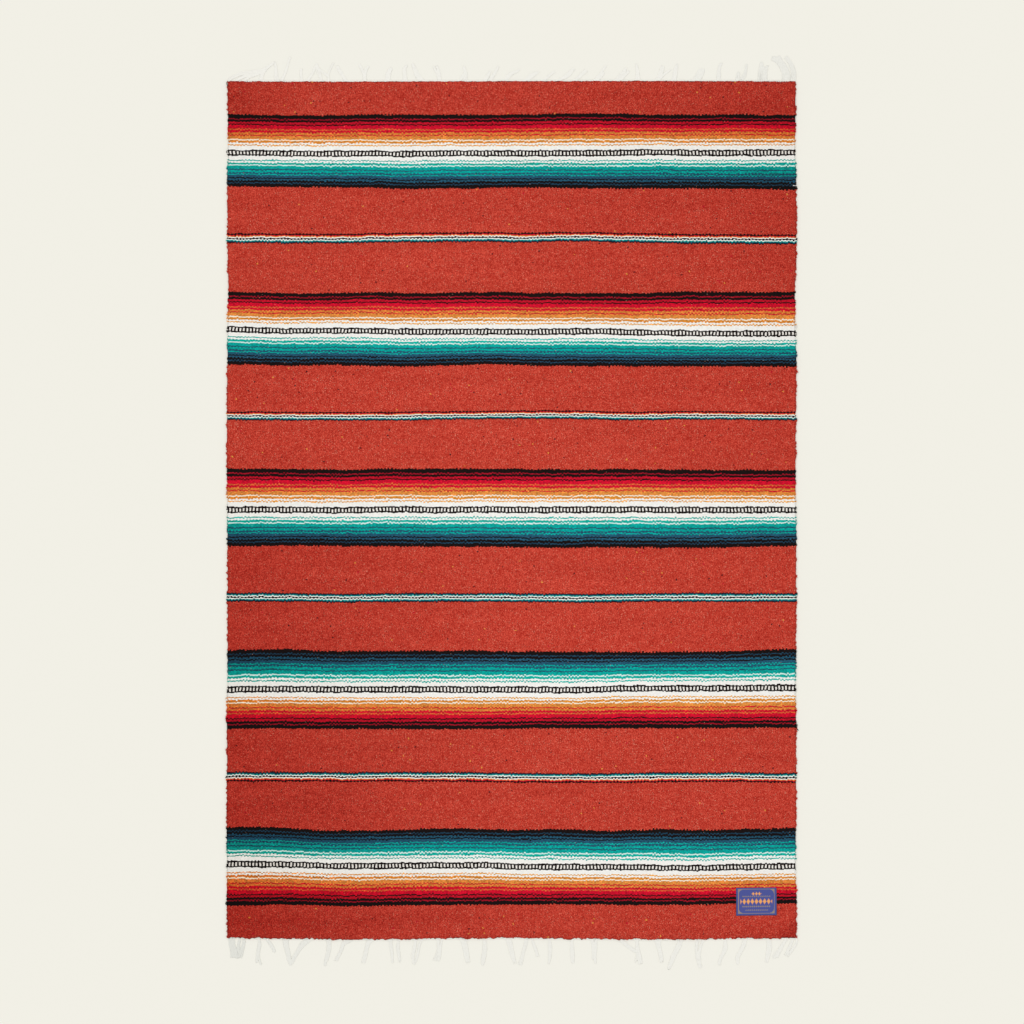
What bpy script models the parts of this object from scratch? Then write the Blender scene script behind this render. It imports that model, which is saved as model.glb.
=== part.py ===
# Mexican serape laid flat: one hand-loomed panel, the knotted fringes of its warp ends and a sewn label.
# Metres, +Z up. +Y runs to the upper end and +X to the right, and the origin is the middle of the footprint
# at floor level.

import math

import bmesh
import bpy

# Driving dimensions
CLOTH_WIDTH = 1.320
CLOTH_LENGTH = 1.990
CLOTH_THICKNESS = 0.003
TOP_REACH = 0.0605  # from the cloth's end to the farthest corner of its longest lock
BOTTOM_REACH = 0.0730
SEAM_GAP = 0.0003

CREASE_HALF_WIDTH = 0.016
CREASE_FADE = 0.08  # the share of the length over which a fold rises or dies out
EDGE_ROUNDING = 0.0007  # the wall is this much thinner along its four edges
UPPER_END_WANDER = 0.0007
LOWER_END_WANDER = 0.0017
LOWER_RIPPLE_HEIGHT = 0.0012
LOWER_RIPPLE_LENGTH = 0.165
LOWER_RIPPLE_DEPTH = 0.070  # how far up from the lower end the ripples die out

STRIP_DEPTH = 0.003
STRIP_HEIGHT = 0.0026
STRIP_INSET = 0.0022  # from the nominal selvedge to the strip's end
LOCK_TIP_HEIGHT = 0.0016
LOCK_TIP_CLEARANCE = 0.0006
LOCK_TAPER = 0.55
LOCK_SECTIONS = 4

LABEL_WIDTH = 0.094
LABEL_HEIGHT = 0.064
LABEL_THICKNESS = 0.001
LABEL_RIGHT_INSET = 0.0455  # from the nominal right selvedge to the label's right side
LABEL_BOTTOM_INSET = 0.053

PANEL_SPANS = 8  # spans of the wall's grid between two lengthwise creases
LENGTH_SPANS = 60
LABEL_SPANS = (8, 6)
STRIP_SPAN = 0.060

MM = 0.001
TOTAL_LENGTH = TOP_REACH + CLOTH_LENGTH + BOTTOM_REACH
LEFT = -CLOTH_WIDTH / 2
UPPER_END = TOTAL_LENGTH / 2 - TOP_REACH
LOWER_END = UPPER_END - CLOTH_LENGTH

# How far each selvedge stands out (+) or draws in (-) from a straight line, in mm, down from the upper end.
SELVEDGE_COLUMNS = ("down", "left", "right")
SELVEDGE_ROWS = (
    (0, -0.5, -0.5),
    (90, -1.2, -1.2),
    (150, -2.4, -2.6),
    (215, -0.2, 0.2),
    (366, -0.4, 1.2),
    (500, -2.4, -2.3),
    (560, -0.5, -1.9),
    (650, -0.2, 1.2),
    (770, 0.9, -0.7),
    (850, 1.6, -0.5),
    (930, 0.0, -0.9),
    (1060, 0.0, 0.9),
    (1200, -0.5, 0.5),
    (1400, -0.5, -1.2),
    (1480, 1.5, 0.0),
    (1560, 0.7, 0.6),
    (1690, 1.3, 0.3),
    (1830, 0.7, -0.9),
    (1900, 1.5, 0.7),
    (1990, -0.7, 0.4),
)

# The three lengthwise folds that storage pressed in: place as a share of the width, greatest height, and
# the stretch, as shares of the length from the upper end, where it stands.
CREASE_COLUMNS = ("share", "height", "start", "end")
CREASE_ROWS = (
    (0.25, 0.0011, 0.06, 0.86),
    (0.50, 0.0013, 0.00, 0.78),
    (0.75, 0.0014, 0.04, 1.00),
)

# One row a lock, in mm: its root from the left selvedge, how far its tip lies to the right of the root,
# how far it reaches out from the cloth, how far its middle bows to the right, and its width at the root.
LOCK_COLUMNS = ("root", "shift", "reach", "bow", "width")
TOP_LOCKS = (
    (14, 92, 47, -7, 16),
    (74, 2, 18, 1, 9),
    (117, -3, 45, 3, 7),
    (128, 19, 58, -2, 6),
    (172, -1, 33, 0, 4),
    (187, 17, 44, 0, 5),
    (217, -4, 42, 1, 7),
    (235, 13, 46, 1, 4),
    (275, -17, 36, 2, 5),
    (315, -11, 39, 1, 5),
    (322, 8, 35, -1, 4),
    (371, 8, 35, -2, 6),
    (412, 2, 38, -1, 6),
    (448, -20, 43, -3, 8),
    (490, -11, 36, 0, 8),
    (555, -6, 36, 2, 7),
    (604, 23, 36, -2, 8),
    (648, 36, 30, -8, 6),
    (697, 34, 23, -4, 8),
    (736, 25, 23, 0, 3),
    (787, 20, 30, -3, 5),
    (809, 26, 26, 1, 3),
    (853, 26, 36, 0, 6),
    (904, 24, 30, -1, 6),
    (952, -3, 43, 1, 8),
    (997, 12, 38, -2, 6),
    (1036, 8, 42, -1, 7),
    (1090, 12, 31, 0, 14),
    (1140, 8, 43, -4, 7),
    (1184, 2, 23, 0, 5),
    (1193, 13, 40, 2, 6),
    (1241, -1, 47, 2, 18),
    (1295, -27, 58, 8, 17),
    (1312, -18, 56, 8, 8),
)
BOTTOM_LOCKS = (
    (10, 4, 47, -1, 12),
    (38, -8, 47, 1, 11),
    (75, -4, 59, 1, 6),
    (92, 17, 33, 4, 6),
    (137, 8, 61, 2, 12),
    (189, -37, 54, -2, 8),
    (238, -12, 61, 3, 9),
    (280, -28, 51, -2, 7),
    (331, -15, 56, 1, 8),
    (381, 3, 58, 1, 5),
    (397, 4, 54, -1, 5),
    (435, -4, 61, -3, 5),
    (452, -13, 56, 1, 5),
    (492, -7, 53, 2, 9),
    (548, 12, 58, 1, 10),
    (597, -4, 63, 2, 7),
    (653, 15, 59, 0, 9),
    (695, -17, 64, 2, 7),
    (707, 14, 44, 1, 4),
    (749, -2, 61, 3, 5),
    (800, 2, 58, 0, 7),
    (850, 2, 54, 0, 10),
    (914, 33, 25, 0, 4),
    (952, 9, 59, -2, 7),
    (999, 10, 56, 1, 9),
    (1055, -31, 71, 0, 8),
    (1097, 3, 71, -4, 12),
    (1155, -15, 64, 5, 6),
    (1205, -20, 59, 1, 7),
    (1258, -5, 58, 3, 11),
    (1296, -30, 47, 2, 7),
    (1312, -25, 44, 3, 9),
)


def clear_scene():
    for old in list(bpy.data.objects):
        bpy.data.objects.remove(old, do_unlink=True)


def named_rows(columns, rows):
    return [dict(zip(columns, row)) for row in rows]


SELVEDGES = named_rows(SELVEDGE_COLUMNS, SELVEDGE_ROWS)
CREASES = named_rows(CREASE_COLUMNS, CREASE_ROWS)


def eased(share):
    share = min(max(share, 0.0), 1.0)
    return share * share * (3 - 2 * share)


def selvedge_wander(side, y):
    """How far the left or right selvedge stands out at y, eased between the rows of the table."""
    down = (UPPER_END - y) / MM
    for above, below in zip(SELVEDGES, SELVEDGES[1:]):
        if down <= below["down"]:
            share = eased((down - above["down"]) / (below["down"] - above["down"]))
            return MM * (above[side] + share * (below[side] - above[side]))
    return MM * SELVEDGES[-1][side]


def upper_edge(x):
    return UPPER_END + UPPER_END_WANDER * math.sin(math.tau * ((x - LEFT) / CLOTH_WIDTH - 0.46))


def lower_edge(x):
    return LOWER_END + LOWER_END_WANDER * math.cos(2 * math.tau * (x - LEFT) / CLOTH_WIDTH)


def cloth_place(across, down):
    """The plan position at these shares of the width, from the left, and the length, from the upper end."""
    x = LEFT + across * CLOTH_WIDTH
    y = upper_edge(x) + down * (lower_edge(x) - upper_edge(x))
    stand_out = across * selvedge_wander("right", y) - (1 - across) * selvedge_wander("left", y)
    return x + stand_out, y


def crease_height(crease, across, down):
    sideways = abs(across - crease["share"]) * CLOTH_WIDTH
    fade_in = eased((down - crease["start"]) / CREASE_FADE + 0.5)
    fade_out = eased((crease["end"] - down) / CREASE_FADE + 0.5)
    return crease["height"] * eased(1 - sideways / CREASE_HALF_WIDTH) * fade_in * fade_out


def cloth_top(across, down):
    """Height of the upper surface: the wall, its pressed folds and the shallow ripples of the lower end."""
    height = CLOTH_THICKNESS + sum(crease_height(crease, across, down) for crease in CREASES)
    from_lower_end = (1 - down) * CLOTH_LENGTH
    wave = 0.5 - 0.5 * math.cos(math.tau * across * CLOTH_WIDTH / LOWER_RIPPLE_LENGTH)
    return height + LOWER_RIPPLE_HEIGHT * wave * eased(1 - from_lower_end / LOWER_RIPPLE_DEPTH)


def width_stations():
    """Shares of the width where the wall's grid has a line: even spans, and a shoulder beside each fold."""
    spans = PANEL_SPANS * (len(CREASES) + 1)
    stations = {index / spans for index in range(spans + 1)}
    shoulder = CREASE_HALF_WIDTH / CLOTH_WIDTH
    for crease in CREASES:
        stations |= {crease["share"] - shoulder, crease["share"] + shoulder}
    return sorted(stations)


def grid_with_stations(across_stations, down_stations, place):
    """A grid mesh whose line crossings are put at place(across, down)."""
    bm = bmesh.new()
    columns = len(across_stations) - 1
    rows = len(down_stations) - 1
    bmesh.ops.create_grid(bm, x_segments=columns, y_segments=rows, size=1.0)
    for vertex in bm.verts:
        column = round((vertex.co.x + 1) / 2 * columns)
        row = round((1 - vertex.co.y) / 2 * rows)
        vertex.co = place(across_stations[column], down_stations[row])
    return bm


def material(name, color, roughness):
    made = bpy.data.materials.new(name)
    made.use_nodes = True
    shader = made.node_tree.nodes["Principled BSDF"]
    shader.inputs["Base Color"].default_value = (*color, 1.0)
    shader.inputs["Roughness"].default_value = roughness
    shader.inputs["Metallic"].default_value = 0.0
    return made


def add_object(bm, name, finish, collection):
    mesh = bpy.data.meshes.new(name)
    bm.to_mesh(mesh)
    bm.free()
    mesh.materials.append(finish)
    made = bpy.data.objects.new(name, mesh)
    collection.objects.link(made)
    return made


def build_cloth(collection):
    """The woven panel: a wall with a flat underside, and a top that carries the folds and ripples."""
    across_stations = width_stations()
    down_stations = [index / LENGTH_SPANS for index in range(LENGTH_SPANS + 1)]

    def place(across, down):
        x, y = cloth_place(across, down)
        on_border = across in (0.0, 1.0) or down in (0.0, 1.0)
        return x, y, cloth_top(across, down) - (EDGE_ROUNDING if on_border else 0.0)

    bm = grid_with_stations(across_stations, down_stations, place)
    border = [edge for edge in bm.edges if edge.is_boundary]
    extruded = bmesh.ops.extrude_edge_only(bm, edges=border)["geom"]
    for item in extruded:
        if isinstance(item, bmesh.types.BMVert):
            item.co.z = 0.0
    rim = [edge for edge in bm.edges if edge.is_boundary]
    bmesh.ops.contextual_create(bm, geom=rim)
    bmesh.ops.recalc_face_normals(bm, faces=bm.faces[:])
    wool = material("red_wool_weft", (0.49, 0.045, 0.03), 0.9)
    return add_object(bm, "woven_cloth", wool, collection)


def lock_section(lock, outward, root, share):
    """A lock's section at this share of its run: lower left, lower right, upper left, upper right."""
    sideways = MM * (lock["shift"] * share + lock["bow"] * 4 * share * (1 - share))
    slope = (lock["shift"] + lock["bow"] * 4 * (1 - 2 * share)) / lock["reach"]
    turn = math.atan(slope)
    center_x = root.x + sideways
    center_y = root.y + outward * (MM * lock["reach"] - SEAM_GAP - STRIP_DEPTH) * share
    half = MM * lock["width"] / 2 * (1 - LOCK_TAPER * share)
    offset_x = half * math.cos(turn)
    offset_y = -outward * half * math.sin(turn)
    low = LOCK_TIP_CLEARANCE * eased(share * 2)
    high = STRIP_HEIGHT + (LOCK_TIP_CLEARANCE + LOCK_TIP_HEIGHT - STRIP_HEIGHT) * share
    sides = ((center_x - offset_x, center_y - offset_y), (center_x + offset_x, center_y + offset_y))
    return [(x, y, z) for z in (low, high) for x, y in sides]


def lock_sides(lock):
    """Where a lock's left and right sides leave the strip, in metres from the left selvedge."""
    return MM * (lock["root"] - lock["width"] / 2), MM * (lock["root"] + lock["width"] / 2)


def strip_stations(locks):
    """Places along the strip, in metres from the left selvedge: its ends, each lock's sides and between."""
    marks = {STRIP_INSET, CLOTH_WIDTH - STRIP_INSET}
    for lock in locks:
        marks |= set(lock_sides(lock))
    marks = sorted(marks)
    filled = []
    for start, end in zip(marks, marks[1:]):
        pieces = max(1, math.ceil((end - start) / STRIP_SPAN))
        filled += [start + (end - start) * index / pieces for index in range(pieces)]
    return filled + [marks[-1]]


def build_fringe(name, locks, edge, outward, finish, collection):
    """A narrow strip along the cloth's end, with each lock drawn out of the strip's outer face."""
    stations = strip_stations(locks)
    bm = bmesh.new()
    rings = []
    for station in stations:
        x = LEFT + station
        inner = edge(x) + outward * SEAM_GAP
        outer = inner + outward * STRIP_DEPTH
        corners = ((inner, 0.0), (outer, 0.0), (outer, STRIP_HEIGHT), (inner, STRIP_HEIGHT))
        rings.append([bm.verts.new((x, y, z)) for y, z in corners])
    outer_faces = []
    for ring, following in zip(rings, rings[1:]):
        for side in range(4):
            after = (side + 1) % 4
            face = bm.faces.new((ring[side], ring[after], following[after], following[side]))
            if side == 1:
                outer_faces.append(face)
    bm.faces.new(rings[0])
    bm.faces.new(rings[-1])
    for lock in locks:
        face = outer_faces[stations.index(lock_sides(lock)[0])]
        root = face.calc_center_median()
        for section in range(1, LOCK_SECTIONS + 1):
            face = bmesh.ops.extrude_discrete_faces(bm, faces=[face])["faces"][0]
            corners = sorted(face.verts, key=lambda v: (v.co.z > STRIP_HEIGHT / 2, v.co.x))
            places = lock_section(lock, outward, root, section / LOCK_SECTIONS)
            for vertex, place in zip(corners, places):
                vertex.co = place
    bmesh.ops.recalc_face_normals(bm, faces=bm.faces[:])
    return add_object(bm, name, finish, collection)


def build_label(collection):
    """The sewn label: a thin patch made from the cloth's own upper surface, moved out by the seam gap."""
    right = (CLOTH_WIDTH - LABEL_RIGHT_INSET) / CLOTH_WIDTH
    left = right - LABEL_WIDTH / CLOTH_WIDTH
    bottom = (CLOTH_LENGTH - LABEL_BOTTOM_INSET) / CLOTH_LENGTH
    top = bottom - LABEL_HEIGHT / CLOTH_LENGTH
    columns, rows = LABEL_SPANS

    def place(across, down):
        x, y = cloth_place(across, down)
        return x, y, cloth_top(across, down) + SEAM_GAP

    across_stations = [left + (right - left) * index / columns for index in range(columns + 1)]
    down_stations = [top + (bottom - top) * index / rows for index in range(rows + 1)]
    bm = grid_with_stations(across_stations, down_stations, place)
    satin = material("blue_label_satin", (0.06, 0.08, 0.32), 0.6)
    made = add_object(bm, "label", satin, collection)
    wall = made.modifiers.new("label wall", "SOLIDIFY")
    wall.thickness = LABEL_THICKNESS
    wall.offset = 1.0
    return made


def main():
    clear_scene()
    collection = bpy.data.collections.new("mexican_serape")
    bpy.context.scene.collection.children.link(collection)
    build_cloth(collection)
    warp_cotton = material("white_warp_cotton", (0.80, 0.79, 0.74), 0.85)
    top_locks = named_rows(LOCK_COLUMNS, TOP_LOCKS)
    bottom_locks = named_rows(LOCK_COLUMNS, BOTTOM_LOCKS)
    build_fringe("fringe_top", top_locks, upper_edge, 1, warp_cotton, collection)
    build_fringe("fringe_bottom", bottom_locks, lower_edge, -1, warp_cotton, collection)
    build_label(collection)


main()
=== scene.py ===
# A serape blanket laid flat: weft-faced striped wool, gathered cotton fringes and a small sewn label.
# Blender 4.5, metres, +Z up. +Y runs to the upper end, and the origin is the middle of the footprint.
import math
import random
from functools import partial

import bmesh
import bpy
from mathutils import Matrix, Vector, noise


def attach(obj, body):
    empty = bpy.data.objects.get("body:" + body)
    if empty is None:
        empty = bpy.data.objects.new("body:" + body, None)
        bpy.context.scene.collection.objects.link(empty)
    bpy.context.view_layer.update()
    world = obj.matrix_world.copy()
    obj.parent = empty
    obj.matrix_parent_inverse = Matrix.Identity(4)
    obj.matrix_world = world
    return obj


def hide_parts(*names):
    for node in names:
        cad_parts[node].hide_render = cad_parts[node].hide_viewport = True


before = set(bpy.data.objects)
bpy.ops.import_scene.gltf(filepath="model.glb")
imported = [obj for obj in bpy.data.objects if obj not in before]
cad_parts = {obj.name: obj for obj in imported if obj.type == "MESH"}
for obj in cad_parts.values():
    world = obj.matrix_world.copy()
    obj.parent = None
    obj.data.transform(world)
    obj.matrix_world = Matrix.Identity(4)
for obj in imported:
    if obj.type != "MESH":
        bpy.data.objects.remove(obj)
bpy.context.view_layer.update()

mm = 0.001


def linear(code):
    # an sRGB hex colour as linear RGBA
    parts = [int(code[place:place + 2], 16) / 255 for place in (1, 3, 5)]
    return (*[part / 12.92 if part <= 0.04045 else ((part + 0.055) / 1.055) ** 2.4 for part in parts], 1.0)


def result(node):
    # the first of the outputs that a node shows
    return next(socket for socket in node.outputs if socket.enabled)


def addNode(tree, kind, *inputs, **settings):
    # a new node with its settings. Its kind may end with what it does, as in "Math:ADD", and is a shader
    # node's if it has no "Node" in it. Inputs come in the order in which the node shows them, or in a
    # dictionary by name or number, and one that is a node or a socket is linked.
    kind, _, deed = kind.partition(":")
    node = tree.nodes.new(kind if "Node" in kind else "ShaderNode" + kind)
    if deed:
        settings["data_type" if kind == "Mix" else "operation"] = deed
    for setting, value in settings.items():
        setattr(node, setting, value)
    shown = [socket for socket in node.inputs if socket.enabled]
    pairs = []
    for place, value in enumerate(inputs):
        if isinstance(value, dict):
            pairs += [(node.inputs[key], named) for key, named in value.items()]
        else:
            pairs.append((shown[place], value))
    for socket, value in pairs:
        if isinstance(value, bpy.types.Node):
            value = result(value)
        if isinstance(value, bpy.types.NodeSocket):
            tree.links.new(value, socket)
        else:
            socket.default_value = value
    return node


def newMaterial(name, roughness, specular, sheen=0.0):
    # a material, and the function that adds nodes to it
    made = bpy.data.materials.new(name)
    made.use_nodes = True
    shader = made.node_tree.nodes["Principled BSDF"]
    shader.inputs["Roughness"].default_value = roughness
    shader.inputs["Specular IOR Level"].default_value = specular
    shader.inputs["Sheen Weight"].default_value = sheen
    shader.inputs["Sheen Roughness"].default_value = 0.6
    return made, partial(addNode, made.node_tree)


def finished(made, colour, height, strength, distance):
    # the material with this colour, and with this relief as a bump
    tree = made.node_tree
    shader = tree.nodes["Principled BSDF"]
    bump = addNode(tree, "Bump", {"Height": height, "Strength": strength, "Distance": distance})
    tree.links.new(result(colour), shader.inputs["Base Color"])
    tree.links.new(result(bump), shader.inputs["Normal"])
    return made


def newObject(name, content, finish=None):
    made = bpy.data.objects.new(name, content)
    bpy.context.scene.collection.objects.link(made)
    if finish is not None:
        content.materials.append(finish)
    return made


def eased(share):
    share = min(max(share, 0.0), 1.0)
    return share * share * (3 - 2 * share)


def alongChart(chart, place):
    # the value at place of a chart of (place, value) pairs, eased from one pair to the next
    if place <= chart[0][0]:
        return chart[0][1]
    for (start, low), (end, high) in zip(chart, chart[1:]):
        if place <= end:
            return low + (high - low) * eased((place - start) / (end - start))
    return chart[-1][1]


# the panel's outline and relief, the same as the solid's
panel = {
    "width": 1.320, "length": 1.990, "wall": 0.003,
    "topReach": 0.0605, "bottomReach": 0.0730,  # the fringes beyond the woven ends
    "seamGap": 0.0003,
    "upperWander": 0.0007, "lowerWander": 0.0017,
    # how far each selvedge stands out (+) or draws in (-): mm down from the upper end, then mm
    "leftSelvedge": [(0, -0.5), (90, -1.2), (150, -2.4), (215, -0.2), (366, -0.4), (500, -2.4), (560, -0.5),
                     (650, -0.2), (770, 0.9), (850, 1.6), (930, 0), (1060, 0), (1200, -0.5), (1400, -0.5),
                     (1480, 1.5), (1560, 0.7), (1690, 1.3), (1830, 0.7), (1900, 1.5), (1990, -0.7)],
    "rightSelvedge": [(0, -0.5), (90, -1.2), (150, -2.6), (215, 0.2), (366, 1.2), (500, -2.3), (560, -1.9),
                      (650, 1.2), (770, -0.7), (850, -0.5), (930, -0.9), (1060, 0.9), (1200, 0.5),
                      (1400, -1.2), (1480, 0), (1560, 0.6), (1690, 0.3), (1830, -0.9), (1900, 0.7),
                      (1990, 0.4)],
    # pressed folds: share of the width, height, and the shares of the length between which each stands
    "folds": [(0.25, 0.0011, 0.06, 0.86), (0.50, 0.0013, 0.00, 0.78), (0.75, 0.0014, 0.04, 1.00)],
    "foldHalfWidth": 0.016, "foldFade": 0.08,
    "rippleHeight": 0.0012, "rippleLength": 0.165, "rippleDepth": 0.070,
    "clearance": 0.0004, "borderDrop": 0.0014, "borderRise": 0.0003, "rimBulge": 0.0006,
    # the last picks are ragged, most at the lower end, where the ripples lift them: mm from warp to warp,
    # and a share of the longer waves
    "upperRough": (0.8, 0.35), "lowerRough": (1.6, 1.0),
    "roughWaves": ((0.0015, 0.034, 7), (0.0030, 0.0065, 9)),  # depth, length, seed
}
left = -panel["width"] / 2
upperEnd = (panel["topReach"] + panel["length"] + panel["bottomReach"]) / 2 - panel["topReach"]
lowerEnd = upperEnd - panel["length"]


def upperEdge(x):
    return upperEnd + panel["upperWander"] * math.sin(math.tau * ((x - left) / panel["width"] - 0.46))


def lowerEdge(x):
    return lowerEnd + panel["lowerWander"] * math.cos(2 * math.tau * (x - left) / panel["width"])


def panelPlace(across, down):
    # the plan position at these shares of the width and the length
    x = left + across * panel["width"]
    y = upperEdge(x) + down * (lowerEdge(x) - upperEdge(x))
    fromTop = (upperEnd - y) / mm
    right = alongChart(panel["rightSelvedge"], fromTop)
    return x + mm * (across * right - (1 - across) * alongChart(panel["leftSelvedge"], fromTop)), y


def ragged(place, length, seed):
    # -1 to 1, smooth, with waves of about this length
    return noise.noise(Vector((place / length, seed, 0.5)))


def panelTop(across, down):
    # height of the upper face: the wall, its pressed folds, and the ripples of the lower end
    height = panel["wall"]
    for share, rise, start, end in panel["folds"]:
        sideways = abs(across - share) * panel["width"]
        if sideways < panel["foldHalfWidth"]:
            height += (rise * eased(1 - sideways / panel["foldHalfWidth"])
                       * eased((down - start) / panel["foldFade"] + 0.5)
                       * eased((end - down) / panel["foldFade"] + 0.5))
    wave = 0.5 - 0.5 * math.cos(math.tau * across * panel["width"] / panel["rippleLength"])
    nearEnd = eased(1 - (1 - down) * panel["length"] / panel["rippleDepth"])
    return height + panel["rippleHeight"] * wave * nearEnd


# the loom's chart: which yarn each pick of weft is, and where the bands lie
weave = {
    "warps": 333,  # 4.0 mm apart
    "groundPick": 1.32,  # mm from one pick to the next in the plain red cloth
    "ribHeight": 0.00045,
    "warpLean": 1.2,  # in warps
    "beatWave": 4.4, "warpJitter": 2.9,  # in picks
    "oddStep": 1.15,  # how much lower the odd columns' floats stand than the even ones', in picks
    "blackRung": 1.02,  # the black rungs' width, in warps; the white gaps have the rest of 2
    "groundStart": 400,  # picks are counted from here in the plain red, clear of the bands' own counts
}
# from the band's warm edge to its ladder, and from its ladder to its cool edge, in picks
warmHalf = [("black", 7), ("maroon", 2), ("black", 4), ("red", 4), ("black", 2), ("crimson", 7),
            ("ember", 2), ("crimson", 4), ("flame", 4), ("crimson", 2), ("orange", 7), ("cream", 2),
            ("amber", 4), ("white", 3), ("straw", 2), ("white", 13)]
coolHalf = [("white", 13), ("lagoon", 2), ("white", 3), ("lagoon", 4), ("mint", 2),
            ("teal", 6), ("blue", 2), ("teal", 4), ("blue", 3), ("teal", 2), ("blue", 5), ("black", 2),
            ("blue", 3), ("black", 4), ("midnight", 2), ("black", 6)]
mixedPinstripe = [("black", 3), ("crimson", 2), ("orange", 2), ("white", 2), ("black", 3), ("white", 2),
                  ("teal", 2), ("navy", 2), ("black", 2)]
coolPinstripe = [("black", 2), ("navy", 2), ("teal", 2), ("white", 2), ("black", 3), ("white", 2),
                 ("teal", 2), ("navy", 2), ("black", 2)]
# pick counts at a band's edges, and at the ladder's middle in a wide one
bandCounts = {"wide": (0, 69, 132), "mixed": (200, 220), "cool": (300, 319)}
# the ladder in the white between the halves: black rails, and black and white by turns between them, so
# that the columns show as rungs. Counts are in picks.
ladder = {"middle": 70.1, "railsReach": 5.4, "gapsReach": 2.85}
# "lines" are mm down from the upper end; "rises" say how far the beater let each line wander up (+) or
# down (-) from there, as (mm from the left selvedge, mm) pairs
bands = [
    {"kind": "wide", "turned": False, "lines": (76.5, 165.7, 247.3), "rises": (
        [(0, 0.5), (200, -1.7), (345, 0.4), (540, -0.8), (840, 2.0), (1060, -1.3), (1150, 0.6),
         (1300, -1.1)],
        [(0, 0.9), (200, -0.1), (312, 0.5), (405, -1.3), (500, 0.3), (600, -0.7), (870, -0.3), (995, 2.0),
         (1100, 0.2), (1300, 1.8)],
        [(0, 3.8), (150, 2.7), (345, 1.5), (420, -1.4), (700, 0.8), (900, -1.5), (1100, -1.5),
         (1300, -3.4)])},
    {"kind": "mixed", "turned": False, "lines": (351.9, 374.3), "rises": (
        [(0, -0.7), (280, -0.8), (345, 1.5), (605, 2), (670, 0), (800, 2.7), (950, 0), (1060, -2.4),
         (1300, -3.6)],) * 2},
    {"kind": "wide", "turned": False, "lines": (489.9, 579.8, 659.6), "rises": (
        [(0, 1), (180, -1.2), (345, 2), (430, -0.4), (605, 1.2), (735, -1.6), (930, -1.8), (1060, 1.8),
         (1300, 1.2)],
        [(0, 5.4), (126, 1.9), (219, 3.6), (312, 3.5), (405, 0.8), (680, -1.3), (870, 0.5), (960, -2.3),
         (1150, -5.2), (1300, -5.0)],
        [(0, 2.8), (150, 0.5), (250, 2.4), (410, -1.2), (605, 2.6), (735, -1), (995, -1.5), (1300, -2.4)])},
    {"kind": "mixed", "turned": False, "lines": (765.8, 785.6), "rises": (
        [(0, -0.8), (410, -0.4), (475, 0.7), (800, 1.8), (930, -0.8), (1060, 1), (1300, -1.4)],) * 2},
    {"kind": "wide", "turned": False, "lines": (899.7, 993.0, 1079.8), "rises": (
        [(0, 1), (280, 0), (345, 2), (600, 0.3), (800, -1.4), (930, 1), (1060, -1.2), (1300, -3)],
        [(0, -0.9), (126, 0), (219, -0.2), (405, 1.9), (498, -0.5), (590, -0.1), (683, -1.4), (870, 0.2),
         (960, 1.3), (1055, -0.1), (1300, -1.0)],
        [(0, 0), (210, 3), (345, 2.4), (540, 0), (780, -3.4), (870, -1), (1125, -2), (1300, 0.8)])},
    {"kind": "cool", "turned": False, "lines": (1187.7, 1208.3), "rises": (
        [(0, 0), (150, 0.8), (280, -0.3), (360, 1.6), (560, 0), (800, -1.8), (995, 1.3),
         (1300, -0.7)],) * 2},
    {"kind": "wide", "turned": True, "lines": (1322.8, 1412.7, 1503.2), "rises": (
        [(0, 1), (120, 3.8), (270, 0), (345, 1.6), (540, 0), (690, -2.8), (995, -1.4), (1150, -1),
         (1300, 3)],
        [(0, -1.8), (126, -0.4), (405, 0.3), (600, -1.8), (780, -2.9), (960, 2.9), (1060, 2.9), (1150, 1.8),
         (1300, 1.9)],
        [(0, -2), (120, 0), (345, 0.7), (600, -2.3), (780, 0), (960, 2), (1300, 0.7)])},
    {"kind": "mixed", "turned": True, "lines": (1604.7, 1627.2), "rises": (
        [(0, 0), (150, 0.7), (219, 2.0), (280, 1.3), (370, 2.7), (500, 0.9), (690, -2.8), (780, -2.8),
         (870, -1.7), (1000, 1.0), (1150, 0.6), (1300, -3.0)],) * 2},
    {"kind": "wide", "turned": True, "lines": (1736.8, 1823.6, 1912.3), "rises": (
        [(0, 4), (100, 4.4), (225, -1.8), (500, 1.2), (670, -2.5), (760, -0.7), (880, -3.2), (995, 1.2),
         (1125, -1.1), (1300, 1)],
        [(0, 4.2), (126, 3.8), (260, 1.7), (405, 2.7), (590, 1.2), (690, -3.1), (960, -1.0), (1055, -3.6),
         (1300, -2.4)],
        [(0, -3.4), (150, -0.2), (290, -2.0), (405, 0.5), (590, -1.2), (690, -0.7), (870, 1.2),
         (1300, 1.8)])},
]


def bandDown(band, count, x):
    # mm down from the upper end of one pick line of a band, x metres from the left selvedge
    counts = bandCounts[band["kind"]]
    if band["turned"]:
        counts = counts[::-1]
    lines = [line - alongChart(rise, x / mm) for line, rise in zip(band["lines"], band["rises"])]
    piece = 1 if len(counts) == 3 and (count - counts[1]) * (counts[2] - counts[0]) > 0 else 0
    share = (count - counts[piece]) / (counts[piece + 1] - counts[piece])
    return lines[piece] + share * (lines[piece + 1] - lines[piece])


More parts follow.
